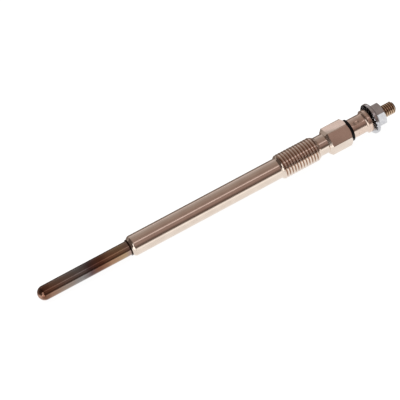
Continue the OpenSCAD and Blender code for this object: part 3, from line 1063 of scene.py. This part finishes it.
class GLOWPLUG_OT_stage(bpy.types.Operator):
    """Set the floor, the light and the camera"""

    bl_idname = "glowplug.stage"
    bl_label = "Set Stage"

    def execute(self, context):
        g = context.scene.glow_plug.stage
        self.floor(g)
        self.world(context)
        self.lamps()
        self.camera(context, g)
        context.scene.view_settings.view_transform = "Standard"
        return {"FINISHED"}

    def mixed(self, tree, share, first, second):
        """One shader, and by a share another"""
        return feed(tree, "MixShader", "Shader", {"Fac": share, 1: first, 2: second})

    def floor(self, g):
        fresh()
        bpy.ops.mesh.primitive_plane_add(size=g.floor, location=(0, 0, -FLOOR_DROP))
        floor = bpy.context.object
        floor.name = "floor"
        material = bpy.data.materials.new("white_floor")
        tree = cleared(material)
        rays = add(tree, "LightPath").outputs
        paper = feed(tree, "BsdfDiffuse", "BSDF", {"Color": PAPER})
        shine = feed(tree, "Emission", "Emission", {"Color": WHITE, "Strength": SHINE})
        seen = self.mixed(tree, SHINE_SHARE, paper, shine)
        parts = add(tree, "SeparateXYZ", {"Vector": feed(tree, "TexCoord", "Object")}).outputs
        # For glossy rays the floor glows, with a painted shade behind the plug
        behind = feed(tree, "MapRange", "Result", {
            "Value": parts["Y"], "From Min": 0.0, "From Max": MIRRORED_DEPTH,
        })
        shades = ramp(tree, behind, [(y / MIRRORED_DEPTH, (*rgb, 1.0)) for y, rgb in MIRRORED_FLOOR])
        mirrored = feed(tree, "Emission", "Emission", {"Color": shades})
        other = self.mixed(tree, rays["Is Camera Ray"], paper, seen)
        shown = self.mixed(tree, rays["Is Glossy Ray"], other, mirrored)
        add(tree, "OutputMaterial", {"Surface": shown})
        floor.data.materials.append(material)

    def world(self, context):
        world = bpy.data.worlds.new("studio")
        context.scene.world = world
        tree = cleared(world)
        rays = add(tree, "LightPath").outputs
        parts = add(tree, "SeparateXYZ", {"Vector": feed(tree, "TexCoord", "Generated")}).outputs
        near = feed(tree, "Math", "Value", {0: parts["Y"], 1: -1.0}, operation="MULTIPLY")
        turn = feed(tree, "Math", "Value", {0: parts["Z"], 1: near}, operation="ARCTAN2")
        over = feed(tree, "MapRange", "Result", {"Value": turn, "From Min": 0.0, "From Max": math.pi})
        sideways = feed(tree, "MapRange", "Result", {"Value": parts["X"], "From Min": -1.0, "From Max": 1.0})

        def dimmed(rgb):
            return (*[c / BRIGHTEST for c in rgb], 1.0)

        light = feed(tree, "Mix", MIX_OUT, {
            "Factor": ramp(tree, sideways, [((x + 1) / 2, (dark, dark, dark, 1.0)) for x, dark in ENDS]),
            MIX_A: ramp(tree, over, [(degrees / 180, dimmed(rgb)) for degrees, rgb in SURROUNDINGS]),
            MIX_B: ramp(tree, sideways, [((x + 1) / 2, dimmed(rgb)) for x, rgb in END_SHADES]),
        }, data_type="RGBA")
        room = feed(tree, "Background", "Background", {"Color": light, "Strength": BRIGHTEST})
        soft = feed(tree, "Background", "Background", {"Color": SOFT, "Strength": SOFT_STRENGTH})
        white = feed(tree, "Background", "Background", {"Color": WHITE, "Strength": 1.0})
        other = self.mixed(tree, rays["Is Glossy Ray"], soft, room)
        shown = self.mixed(tree, rays["Is Camera Ray"], other, white)
        add(tree, "OutputWorld", {"Surface": shown})

    def lamp(self, name, place, turn, shape, width, height, power):
        fresh()
        bpy.ops.object.light_add(type="AREA", location=place, rotation=turn)
        lamp = bpy.context.object
        lamp.name = name
        lamp.data.shape = shape
        lamp.data.size = width
        lamp.data.size_y = height
        lamp.data.energy = power
        return lamp

    def lamps(self):
        turn = [math.radians(degrees) for degrees in KEY_TURN]
        key = self.lamp("key", KEY_PLACE, turn, "DISK", KEY_WIDTH, KEY_WIDTH, KEY_POWER)
        key.visible_glossy = False
        for name, way, width, height, power in GLINTS:
            way = Vector(way).normalized()
            turn = way.to_track_quat("Z", "Y").to_euler()
            glint = self.lamp(name, way * GLINT_DISTANCE, turn, "ELLIPSE", width, height, power)
            glint.visible_diffuse = False

    def camera(self, context, g):
        tip, rise = axis_of_plug()
        aim = tip + Vector((math.cos(rise), 0.0, math.sin(rise))) * g.station
        a, e = g.azimuth, g.elevation
        right = Vector((math.cos(a), math.sin(a), 0.0))
        back = Vector((math.sin(a) * math.cos(e), -math.cos(a) * math.cos(e), math.sin(e)))
        up = back.cross(right)
        bpy.ops.object.camera_add(
            location=aim + back * g.distance - right * g.right + up * g.down,
            rotation=(math.pi / 2 - e, 0.0, a),
        )
        camera = bpy.context.object
        camera.name = "camera"
        camera.data.sensor_width = SENSOR
        camera.data.angle = g.field
        camera.data.clip_start = CLIP_START
        context.scene.camera = camera


class GLOWPLUG_PT_panel(bpy.types.Panel):
    """Sizes of the glow plug and the steps that model it"""

    bl_idname = "GLOWPLUG_PT_panel"
    bl_label = "Diesel Glow Plug"
    bl_space_type = "VIEW_3D"
    bl_region_type = "UI"
    bl_category = "Glow Plug"

    def draw(self, context):
        plug = context.scene.glow_plug
        for title, group, steps in (
            ("Glow Tube", plug.tube, ["glowplug.tube"]),
            ("Body", plug.body, ["glowplug.body"]),
            ("Centre Rod", plug.rod, ["glowplug.rod"]),
            ("Terminal", plug.terminal, ["glowplug.bush", "glowplug.sleeve"]),
            ("Flange Nut", plug.nut, ["glowplug.nut"]),
            ("Finishes", plug.finish, ["glowplug.inside"]),
            ("Stage", plug.stage, ["glowplug.stage"]),
        ):
            box = self.layout.box()
            box.label(text=title)
            for p in own_settings(group):
                box.prop(group, p.identifier)
            for step in steps:
                box.operator(step)


CLASSES = (
    TubeSettings, BodySettings, RodSettings, TerminalSettings, NutSettings, FinishSettings, StageSettings,
    GlowPlugSettings,
    GLOWPLUG_OT_tube, GLOWPLUG_OT_body, GLOWPLUG_OT_rod, GLOWPLUG_OT_bush, GLOWPLUG_OT_sleeve,
    GLOWPLUG_OT_nut, GLOWPLUG_OT_inside, GLOWPLUG_OT_stage, GLOWPLUG_PT_panel,
)


def register():
    for c in CLASSES:
        bpy.utils.register_class(c)
    bpy.types.Scene.glow_plug = bpy.props.PointerProperty(type=GlowPlugSettings)


def unregister():
    del bpy.types.Scene.glow_plug
    for c in reversed(CLASSES):
        bpy.utils.unregister_class(c)


def main():
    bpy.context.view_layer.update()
    register()
    bpy.ops.glowplug.tube()
    bpy.ops.glowplug.body()
    bpy.ops.glowplug.rod()
    bpy.ops.glowplug.bush()
    bpy.ops.glowplug.sleeve()
    bpy.ops.glowplug.nut()
    bpy.ops.glowplug.inside()
    bpy.ops.glowplug.stage()
    fresh()


if __name__ == "__main__":
    main()
